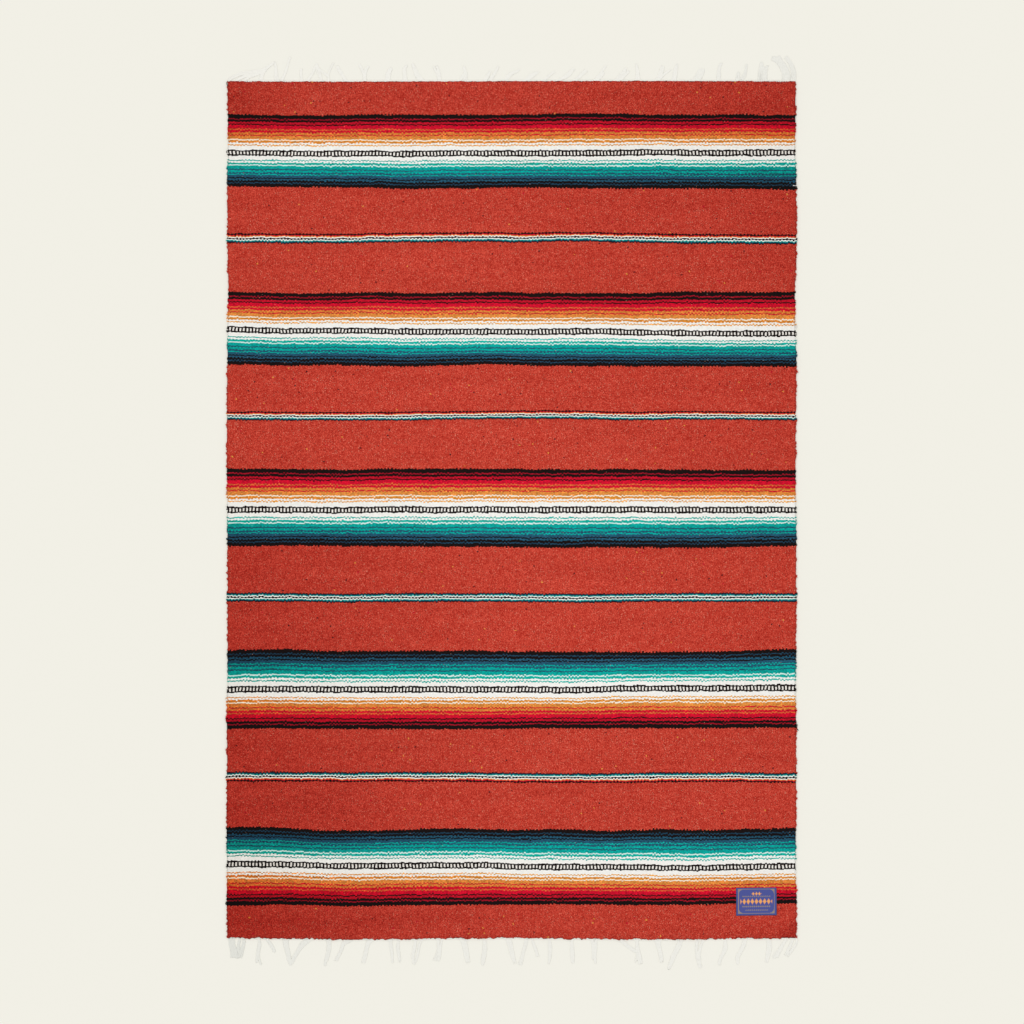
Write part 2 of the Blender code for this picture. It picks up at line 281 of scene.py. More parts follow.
def loomRows():
    # the panel's rows from the upper end down: the mm down as a function of x, and the pick count that
    # the row has as the lower border of the faces above it and as the upper border of those below
    rows = [{"down": lambda x: 0.0, "above": 0, "below": weave["groundStart"]}]
    count = weave["groundStart"]

    def addGround(lower, drawn, spans):
        nonlocal count
        upper = rows[-1]["down"]
        picks = 2 * round((lower(0.66) - upper(0.66)) / weave["groundPick"] / 2)
        for span in range(1, spans + 1):
            share = span / spans
            rows.append({"down": lambda x, share=share: upper(x) + share * (lower(x) - upper(x)),
                         "above": count + share * picks, "below": count + share * picks})
        count += picks
        rows[-1]["below"] = drawn

    for band in bands:
        counts = bandCounts[band["kind"]]
        steps = [-4, *([31, 66, 72, 102] if band["kind"] == "wide" else []), counts[-1] - counts[0] + 4]
        marks = [counts[0] + step for step in steps]
        if band["turned"]:
            marks = marks[::-1]
        spans = 4 if band is bands[0] else 3
        addGround(lambda x, band=band, mark=marks[0]: bandDown(band, mark, x), marks[0], spans)
        for mark in marks[1:]:
            rows.append({"down": lambda x, band=band, mark=mark: bandDown(band, mark, x),
                         "above": mark, "below": mark})
        rows[-1]["below"] = count
    addGround(lambda x: panel["length"] / mm, count, 4)
    return rows


def shellMesh(name, rowCount, columnCount, place, cornersTop, cornersBottom, bulge):
    # a closed shell with a rim that stands out. Place gives the upper and the lower point at a row and a
    # column, and the two others give each face's corner values.
    pairs = [place(row, column) for row in range(rowCount) for column in range(columnCount)]
    points = [upper for upper, lower in pairs] + [lower for upper, lower in pairs]
    under = len(pairs)
    faces, corners = [], []
    for row in range(rowCount - 1):
        for column in range(columnCount - 1):
            upper = row * columnCount + column
            lower = upper + columnCount
            faces.append((upper, lower, lower + 1, upper + 1))
            corners += cornersTop(row, column)
            faces.append((under + upper, under + upper + 1, under + lower + 1, under + lower))
            a, b, c, d = cornersBottom(row, column)
            corners += [a, d, c, b]
    # the rim: each border edge of the top's outermost faces, with the corner values it has there
    border = []
    for row in range(rowCount - 1):
        a, b, c, d = cornersTop(row, 0)
        border.append((row * columnCount, (row + 1) * columnCount, a, b, (-1, 0)))
        a, b, c, d = cornersTop(row, columnCount - 2)
        border.append(((row + 2) * columnCount - 1, (row + 1) * columnCount - 1, c, d, (1, 0)))
    for column in range(columnCount - 1):
        a, b, c, d = cornersTop(0, column)
        border.append((column + 1, column, d, a, (0, 1)))
        a, b, c, d = cornersTop(rowCount - 2, column)
        start = (rowCount - 1) * columnCount + column
        border.append((start, start + 1, b, c, (0, -1)))
    middles, outward = {}, {}
    for start, end, atStart, atEnd, way in border:
        for index in (start, end):
            known = outward.get(index, (0, 0))
            outward[index] = (known[0] or way[0], known[1] or way[1])
    for index, way in outward.items():
        upper, lower = points[index], points[under + index]
        middles[index] = len(points)
        points.append((upper[0] + way[0] * bulge, upper[1] + way[1] * bulge, (upper[2] + lower[2]) / 2))
    for start, end, atStart, atEnd, way in border:
        faces.append((start, middles[start], middles[end], end))
        corners += [atStart, atStart, atEnd, atEnd]
        faces.append((middles[start], under + start, under + end, middles[end]))
        corners += [atStart, atStart, atEnd, atEnd]
    mesh = bpy.data.meshes.new(name)
    mesh.from_pydata(points, [], faces)
    layer = mesh.uv_layers.new(name="weave")
    layer.uv.foreach_set("vector", [number for corner in corners for number in corner])
    mesh.validate()
    solid = bmesh.new()
    solid.from_mesh(mesh)
    bmesh.ops.recalc_face_normals(solid, faces=solid.faces[:])
    solid.to_mesh(mesh)
    solid.free()
    mesh.shade_smooth()
    return mesh


def buildPanel(finish):
    rows = loomRows()
    columns = 2 * weave["warps"]  # a groove and a crest for each warp
    shifts = random.Random(11)
    crooked = [shifts.uniform(-0.4, 0.4) for column in range(columns + 1)]

    def place(row, column):
        across = column / columns
        down = rows[row]["down"](across * panel["width"]) * mm / panel["length"]
        x, y = panelPlace(across, down)
        crest = 0.5 if column % 2 else -0.5
        upper = panelTop(across, down) + crest * weave["ribHeight"]
        lower = panel["clearance"] - 0.4 * crest * weave["ribHeight"]
        if column in (0, columns):
            x += turns["inset"] * (1 if column == 0 else -1)
        if column in (0, columns) or row in (0, len(rows) - 1):
            upper -= panel["borderDrop"]
            lower += panel["borderRise"]
        if row in (0, len(rows) - 1):
            step, rough = panel["lowerRough" if row else "upperRough"]
            y += mm * crooked[column] * step * (1 if column % 2 else 0.4)
            y += rough * sum(depth * ragged(x, length, seed)
                             for depth, length, seed in panel["roughWaves"])
        return (x, y, upper), (x, y, lower)

    def corners(row, column, turn=0):
        start, end = column / 2 + turn, (column + 1) / 2 + turn
        upper, lower = rows[row]["below"], rows[row + 1]["above"]
        return [(start, upper), (start, lower), (end, lower), (end, upper)]

    # under the cloth the odd and even picks change places, which one more column does
    mesh = shellMesh("serapePanel", len(rows), columns + 1, place, corners, partial(corners, turn=1),
                     panel["rimBulge"])
    return newObject("serapePanel", mesh, finish)


# wool: carded, dyed single-ply weft, beaten down until it hides the warp. Matt and hairy, with
# flecks of paler and darker fibre that never took the dye.
wool = {
    "ground": "#C93C2C", "groundPale": "#EA634F", "groundDeep": "#AB2116", "fleck": "#EFC0A2",
    "darkFleck": "#43201F",
    "black": "#1A1110", "red": "#C6112B", "crimson": "#D80F30", "orange": "#E69544", "white": "#FBF9F4",
    "teal": "#04ACA2", "blue": "#255A72", "navy": "#1F4A63",
    # yarns of the thin lines, which are dyed a little stronger than the broad ones
    "maroon": "#A61127", "ember": "#DE6E39", "flame": "#E28B3E", "amber": "#E59738", "straw": "#EDAA38",
    "cream": "#FDF4E2", "mint": "#E2F6F0", "lagoon": "#08BAAC", "midnight": "#20445A", "rung": "#F3EFE8",
    "tuftsPerMetre": 860,  # tufts of fibre drawn 1.2 mm across, about twice the real size
    "floatShare": 0.14, "tuftShare": 1.0, "cloudShare": 0.40, "bandPaleOdds": 0.0006, "paleOdds": 0.020,
    "paleStrength": 0.55, "darkOdds": 0.017, "darkStrength": 0.55,
    # in the bands each float is only a little lighter or darker than the next, least of all in white
    "bandShare": 0.42, "bandHeather": 0.45, "bandLevel": 0.78, "whiteLevel": 0.97,
    # neps: stray knots of other wool carded in with the red, about 3 mm across
    "nepsPerMetre": 330, "nepOdds": 0.0028, "neps": ((0.0, "#4A1C20"), (0.5, "#C8102E"), (0.75, "#E8A04A")),
    "abrash": 0.36, "abrashScale": (3, 30, 1),  # how unevenly the dye took, in long streaks along the picks
    # painted shade: the cloth is drawn lighter round a middle, darker away from it, and darker still at the
    # upper end
    "shadeCentre": (0.014, 0.005), "shadeTurn": math.radians(19.5), "shadeReach": (1.61, 2.94),
    "leastShade": 0.073, "upperShade": 0.041, "upperFrom": (0.80, 0.98),
    "keeps": (-0.44, -0.36),  # how much less pale yarn takes the painted shade, by the square of its colour and by itself
    # corners with painted shade: place, full out to, none beyond, how much
    "shadedCorners": (((0.655, -0.985, 0.003), 0.008, 0.045, 0.38),
                    ((-0.66, 0.995, 0.003), 0.02, 0.20, 0.245)),
    # painted shade, darker on the left of the lower half: by how much and where from
    "lowerLeftShade": 0.2, "leftFrom": (0.0, -0.66), "lowerFrom": (0.12, -0.10),
    "paintedShade": (0.42, 0.66, -0.08, -0.62),  # the last picks' noise, and how much painted shade it gives them
}


def fillRamp(node, stops, steps):
    # gives a colour ramp these (position, colour code) stops, of which the first is at 0
    ramp = node.color_ramp
    ramp.interpolation = steps
    ramp.elements.remove(ramp.elements[1])
    ramp.elements[0].color = linear(stops[0][1])
    for position, code in stops[1:]:
        ramp.elements.new(position).color = linear(code)
    return node


def chartColour(add, pick, along, pale):
    # the yarn colour of each pick count, and 1 where it belongs to a band. Pale is 1 in the columns which
    # show white between the ladder's rails.
    lead = 2  # picks of plain red before the stripes of a ramp
    start, middle, _ = bandCounts["wide"]
    pinsStart = bandCounts["mixed"][0]
    pinstripes = mixedPinstripe + [("ground", 80)] + coolPinstripe
    ramps = []
    for stripes, first, span in ((warmHalf, start, 80), (coolHalf, middle, 80),
                                 (pinstripes, pinsStart, 130)):
        stops, place = [(0.0, wool["ground"])], lead
        for yarn, picks in stripes:
            stops.append((place / span, wool[yarn]))
            place += picks
        stops.append((min(place / span, 1.0), wool["ground"]))
        counted = add("Math:DIVIDE", add("Math:ADD", pick, lead + 0.5 - first), span)
        ramps.append(fillRamp(add("ValToRGB", counted), stops, "CONSTANT"))
    warm, cool, pins = ramps
    onLadder, inGaps = [add("Math:COMPARE", along, ladder["middle"], ladder[reach])
                        for reach in ("railsReach", "gapsReach")]
    inGaps = add("Math:MULTIPLY", inGaps, pale)
    rungs = add("Mix:RGBA", inGaps, linear(wool["black"]), linear(wool["rung"]))
    pastLadder = add("Math:GREATER_THAN", pick, middle + 0.5)
    pastWide = add("Math:GREATER_THAN", pick, pinsStart - 10)
    wide = add("Mix:RGBA", onLadder, add("Mix:RGBA", pastLadder, warm, cool), rungs)
    colour = add("Mix:RGBA", pastWide, wide, pins)
    inWide, inMixed, inCool = [
        add("Math:COMPARE", pick, (counts[0] + counts[-1] - 1) / 2, (counts[-1] - counts[0]) / 2)
        for counts in bandCounts.values()]
    striped = add("Math:ADD", inWide, inMixed)
    return colour, add("Math:ADD", striped, inCool)


def undyedShare(add, colour):
    # 1 in white yarn, which gets little of the painted groove shade, a weaker bump and less change from
    # float to float
    green = add("SeparateColor", colour).outputs[1]
    return add("MapRange", green, 0.5, 0.85, 0.0, 0.85)


def woollyColour(add, colour, striped, undyed, seed, plan):
    # heathering, flecks and painted shade over the yarn colour; seed changes from one float of yarn to the
    # next
    chance = add("TexWhiteNoise", seed, noise_dimensions="3D")
    tint = add("SeparateColor", chance.outputs["Color"])
    tufts = add("TexVoronoi", plan, {"Scale": wool["tuftsPerMetre"]}, voronoi_dimensions="2D")
    tuft = add("SeparateColor", tufts.outputs["Color"])
    cloudy = add("TexNoise", plan, {"Scale": 70.0, "Detail": 3.0})
    mixed = 0.5 - wool["floatShare"] / 2
    for source, share in ((tint, "floatShare"), (tuft, "tuftShare"), (cloudy, "cloudShare")):
        mixed = add("Math:MULTIPLY_ADD", source, wool[share], mixed)
    offset = (wool["tuftShare"] + wool["cloudShare"]) / 2
    mixed = add("Math:SUBTRACT", mixed, offset, use_clamp=True)
    plain = add("Math:SUBTRACT", 1.0, striped)
    heather = fillRamp(add("ValToRGB", mixed), [(0.0, wool["groundDeep"]), (0.5, wool["ground"]),
                                                (1.0, wool["groundPale"])], "LINEAR")
    level = wool["bandLevel"] - wool["bandShare"] / 2
    for source, share in ((mixed, "bandHeather"), (tint.outputs[1], "bandShare")):
        level = add("Math:MULTIPLY_ADD", source, wool[share], level)
    level = add("Mix", undyed, level, wool["whiteLevel"])
    uneven = add("VectorMath:SCALE", colour, level)
    base = add("Mix:RGBA", plain, uneven, heather)
    # paler and darker hairs, few in the bands and more in the heathered red
    paleOdds = add("Math:MULTIPLY_ADD", plain, wool["paleOdds"], wool["bandPaleOdds"])
    isPale = add("Math:LESS_THAN", tuft.outputs[1], paleOdds)
    isPale = add("Math:MULTIPLY", isPale, wool["paleStrength"])
    isDark = add("Math:LESS_THAN", tuft.outputs[2], wool["darkOdds"])
    isDark = add("Math:MULTIPLY", add("Math:MULTIPLY", isDark, plain), wool["darkStrength"])
    flecked = add("Mix:RGBA", isPale, base, linear(wool["fleck"]))
    flecked = add("Mix:RGBA", isDark, flecked, linear(wool["darkFleck"]))
    neps = add("TexVoronoi", plan, {"Scale": wool["nepsPerMetre"]}, voronoi_dimensions="2D")
    nep = add("SeparateColor", neps.outputs["Color"])
    isNep = add("Math:MULTIPLY", add("Math:LESS_THAN", nep, wool["nepOdds"]), plain)
    nepColour = fillRamp(add("ValToRGB", nep.outputs[1]), wool["neps"], "CONSTANT")
    flecked = add("Mix:RGBA", isNep, flecked, nepColour)
    # painted shade: drawn lighter round the middle and darker towards the upper end, the left of the lower
    # half and two corners, with the dye's long streaks added; pale yarn darkens less
    turned = add("Mapping", plan, (*wool["shadeCentre"], 0), (0, 0, wool["shadeTurn"]),
                 (*wool["shadeReach"], 1000), vector_type="TEXTURE")
    away = add("VectorMath:DOT_PRODUCT", turned, turned)
    place = add("SeparateXYZ", plan)
    atEnd = add("MapRange", place.outputs[1], *wool["upperFrom"], wool["leastShade"],
                wool["leastShade"] + wool["upperShade"])
    shadeAndStreaks = add("Math:ADD", away, atEnd)
    leftward = add("MapRange", place, *wool["leftFrom"], 0.0, wool["lowerLeftShade"])
    downward = add("MapRange", place.outputs[1], *wool["lowerFrom"], interpolation_type="SMOOTHSTEP")
    shadeAndStreaks = add("Math:MULTIPLY_ADD", leftward, downward, shadeAndStreaks)
    for middle, full, none, depth in wool["shadedCorners"]:
        corner = add("VectorMath:DISTANCE", plan, middle)
        corner = add("MapRange", corner, full, none, depth, 0.0)
        shadeAndStreaks = add("Math:ADD", shadeAndStreaks, corner)
    streaked = add("Mapping", plan, {"Scale": wool["abrashScale"]})
    streaked = add("TexNoise", streaked, {"Scale": 1.0, "Detail": 2.0})
    streaked = add("Math:MULTIPLY_ADD", streaked, wool["abrash"], -wool["abrash"] / 2)
    shadeAndStreaks = add("Math:ADD", shadeAndStreaks, streaked)
    # takes: how much of the painted shade each colour gets, less in pale yarn
    square, linearly = wool["keeps"]
    takes = add("VectorMath:MULTIPLY_ADD", flecked, (square,) * 3, (linearly,) * 3)
    takes = add("VectorMath:MULTIPLY_ADD", flecked, takes, (1,) * 3)
    takes = add("VectorMath:SCALE", takes, shadeAndStreaks)
    return add("VectorMath:MULTIPLY", flecked, add("VectorMath:SUBTRACT", (1,) * 3, takes))


def woolWeft(lastPick):
    made, add = newMaterial("cardedWoolWeft", 0.92, 0.05, 0.03)
    place = add("SeparateXYZ", add("UVMap", uv_map="weave"))
    counted = place.outputs[1]
    plan = add("TexCoord").outputs["Object"]
    # hand beating: warps lean a little, and picks ride up and down between them
    lean = add("TexNoise", add("Mapping", plan, {"Scale": (40, 90, 40)}), {"Scale": 1.0, "Detail": 1.0})
    across = add("Math:MULTIPLY_ADD", lean, weave["warpLean"], -weave["warpLean"] / 2)
    across = add("Math:ADD", place, across)
    # each column of floats belongs to one warp, and stands one pick off from its neighbours
    column = add("Math:FLOOR", across)
    odd = add("Math:FLOORED_MODULO", column, 2.0)
    ride = add("TexNoise", add("Mapping", plan, {"Scale": (30, 62, 30)}), {"Scale": 1.0, "Detail": 2.0})
    own = add("CombineXYZ", add("Math:MULTIPLY", column, 3.37), add("Math:MULTIPLY", counted, 0.07))
    own = add("TexNoise", own, {"Scale": 1.0, "Detail": 0.0}, noise_dimensions="2D")
    riding = -(weave["beatWave"] + weave["warpJitter"]) / 2
    for source, reach in ((ride, "beatWave"), (own, "warpJitter")):
        riding = add("Math:MULTIPLY_ADD", source, weave[reach], riding)
    along = add("Math:ADD", counted, riding)
    halved = add("Math:MULTIPLY_ADD", odd, -weave["oddStep"], along)
    halved = add("Math:MULTIPLY", halved, 0.5)
    pick = add("Math:MULTIPLY_ADD", add("Math:FLOOR", halved), 2.0, odd)
    gap = add("Math:FLOORED_MODULO", across, 2.0)
    gap = add("Math:GREATER_THAN", gap, weave["blackRung"])
    colour, striped = chartColour(add, pick, along, gap)
    rowSeed = add("Math:MULTIPLY", add("SeparateXYZ", plan).outputs[1], 3.1)
    rowSeed = add("Math:FLOOR", rowSeed)
    undyed = undyedShare(add, colour)
    woolly = woollyColour(add, colour, striped, undyed, add("CombineXYZ", column, pick, rowSeed), plan)
    # a float is a small cushion, highest in its middle; the grooves round it get a painted shade
    arches = []
    for source in (across, halved):
        within = add("Math:MULTIPLY", add("Math:FRACT", source), math.pi)
        arches.append(add("Math:SINE", within))
    cushion = add("Math:POWER", add("Math:MULTIPLY", *arches), 0.5)
    grooveShade = add("Mix", undyed, add("Math:MULTIPLY_ADD", cushion, 0.3, 0.8), 1.0)
    # painted shade on the very last picks, in patches, where they lie turned down
    atEnds = add("Math:COMPARE", counted, lastPick, 1.3)
    begun = add("Math:COMPARE", counted, weave["groundStart"], 1.4)
    atEnds = add("Math:ADD", atEnds, begun)
    patchy = add("TexNoise", plan, {"Scale": 90.0, "Detail": 1.0})
    patchy = add("MapRange", patchy, *wool["paintedShade"])
    paintedShade = add("Math:MULTIPLY_ADD", atEnds, patchy, grooveShade)
    shaded = add("VectorMath:SCALE", woolly, paintedShade)
    # fibres lie along the pick: 0.7 mm hairs drawn about 3 mm long, as coarse as they need to show
    hairs = add("Mapping", plan, {"Scale": (300, 1400, 300)})
    hairs = add("TexNoise", hairs, {"Scale": 1.0, "Detail": 2.0})
    height = add("Math:MULTIPLY_ADD", hairs, 0.35, cushion)
    relief = add("Math:MULTIPLY_ADD", undyed, -0.45, 0.6)
    return finished(made, shaded, height, relief, 0.0007)


# selvedges: at each side the weft turns round the last warps, one turn for every second pick
turns = {"ringRadius": 0.0009, "yarnRadius": 0.0006, "flatness": 2.1, "inset": 0.0012, "unevenness": 0.2,
         "reach": 0.0015, "leastReach": 0.0005, "height": 0.0016}


def newTree(name, values):
    # a geometry tree that takes geometry and these named values and gives geometry, with the function that
    # adds nodes to it and the sockets of what it takes
    tree = bpy.data.node_groups.new(name, "GeometryNodeTree")
    tree.interface.new_socket("Geometry", in_out="INPUT", socket_type="NodeSocketGeometry")
    for socket, value in values.items():
        kind = {float: "Float", int: "Int"}.get(type(value), "Material")
        tree.interface.new_socket(socket, in_out="INPUT", socket_type="NodeSocket" + kind)
    tree.interface.new_socket("Geometry", in_out="OUTPUT", socket_type="NodeSocketGeometry")
    return tree, partial(addNode, tree), tree.nodes.new("NodeGroupInput").outputs


def endTree(tree, geometry, finish):
    real = addNode(tree, "GeometryNodeRealizeInstances", geometry)
    painted = addNode(tree, "GeometryNodeSetMaterial", real, {"Material": finish})
    addNode(tree, "NodeGroupOutput", painted)
    return tree


def grow(name, carrier, build, values):
    # runs the tree that build makes on the carrier mesh, and keeps the result as a plain mesh object
    tree = build(values)
    holder = newObject(name + "Holder", carrier)
    modifier = holder.modifiers.new(tree.name, "NODES")
    modifier.node_group = tree
    known = {item.name: item.identifier for item in tree.interface.items_tree if item.in_out == "INPUT"}
    for socket, value in values.items():
        modifier[known[socket]] = value
    graph = bpy.context.evaluated_depsgraph_get()
    mesh = bpy.data.meshes.new_from_object(holder.evaluated_get(graph))
    bpy.data.objects.remove(holder)
    mesh.name = name
    mesh.materials.clear()  # the carrier's own slot is empty
    return newObject(name, mesh, values["Finish"])


def carrierMesh(points, edges, values):
    # loose points and edges, with these named values on the points
    mesh = bpy.data.meshes.new("carrier")
    mesh.from_pydata(points, edges, [])
    for name, numbers in values.items():
        mesh.attributes.new(name, "FLOAT", "POINT").data.foreach_set("value", numbers)
    return mesh


def turnTree(values):
    tree, add, take = newTree("weftTurns", values)
    ring = add("GeometryNodeCurveArc", {"Resolution": 6, "Radius": take["Ring Radius"],
                                        "Start Angle": -math.pi / 2, "Sweep Angle": math.pi})
    profile = add("GeometryNodeCurvePrimitiveCircle", {"Resolution": 5, "Radius": take["Yarn Radius"]})
    tube = add("GeometryNodeCurveToMesh", {"Curve": ring, "Profile Curve": profile})
    tube = add("GeometryNodeTransform", tube, {"Rotation": (math.pi / 2, 0, 0)})
    tube = add("GeometryNodeSetShadeSmooth", tube)
    side = add("GeometryNodeInputNamedAttribute", "facing")
    least = add("Math:SUBTRACT", 1.0, take["Unevenness"])
    most = add("Math:ADD", 1.0, take["Unevenness"])
    stretch = add("FunctionNodeRandomValue", least, most, {"Seed": take["Seed"]})
    reach = add("GeometryNodeInputNamedAttribute", "reach")
    size = add("CombineXYZ", add("Math:MULTIPLY", stretch, reach), take["Flatness"], 1.0)
    lean = add("Math:MULTIPLY_ADD", stretch, 1.2, -1.2)
    turn = add("Math:MULTIPLY_ADD", side, math.pi, lean)
    placed = add("GeometryNodeInstanceOnPoints", take["Geometry"],
                 {"Instance": tube, "Rotation": add("CombineXYZ", 0, 0, turn), "Scale": size})
    return endTree(tree, placed, take["Finish"])


def buildTurns(finish):
    rows = loomRows()
    points, picks, facing, reach = [], [], [], []
    for across, side in ((0.0, 1.0), (1.0, 0.0)):
        for upper, lower in zip(rows, rows[1:]):
            start, end = upper["down"](across * panel["width"]), lower["down"](across * panel["width"])
            pairs = max(1, round(abs(lower["above"] - upper["below"]) / 2))
            for pair in range(pairs):
                share = (pair + 0.5) / pairs
                x, y = panelPlace(across, (start + share * (end - start)) * mm / panel["length"])
                loose = 0.0012 * ragged(y, 0.019, 2 + side) + 0.0024 * ragged(y, 0.0062, 5 + side)
                reach.append(max(turns["reach"] + loose, turns["leastReach"]) / turns["ringRadius"])
                x += turns["inset"] * (1 if side else -1)
                points.append((x, y, turns["height"]))
                picks.append(upper["below"] + share * (lower["above"] - upper["below"]))
                facing.append(side)
    carrier = carrierMesh(points, [], {"pick": picks, "facing": facing, "reach": reach})
    return grow("selvedgeTurns", carrier, turnTree, {
        "Ring Radius": turns["ringRadius"], "Yarn Radius": turns["yarnRadius"],
        "Flatness": turns["flatness"], "Unevenness": turns["unevenness"], "Seed": 5, "Finish": finish})


def weftYarn():
    # the same wool seen as single yarns, coloured by the pick that each one is
    made, add = newMaterial("singleWoolYarn", 0.92, 0.05, 0.03)
    count = add("Attribute", attribute_name="pick").outputs["Fac"]
    plan = add("TexCoord").outputs["Object"]
    pick = add("Math:FLOOR", count)
    odd = add("Math:FLOOR", add("Math:MULTIPLY", pick, 0.5))
    odd = add("Math:FLOORED_MODULO", odd, 2.0)
    colour, striped = chartColour(add, pick, count, odd)
    nearby = add("VectorMath:FLOOR", add("VectorMath:MULTIPLY", plan, (500, 380, 200)))
    woolly = woollyColour(add, colour, striped, undyedShare(add, colour), nearby, plan)
    hairs = add("TexNoise", plan, {"Scale": 900.0, "Detail": 2.0})
    return finished(made, woolly, hairs, 0.5, 0.0004)


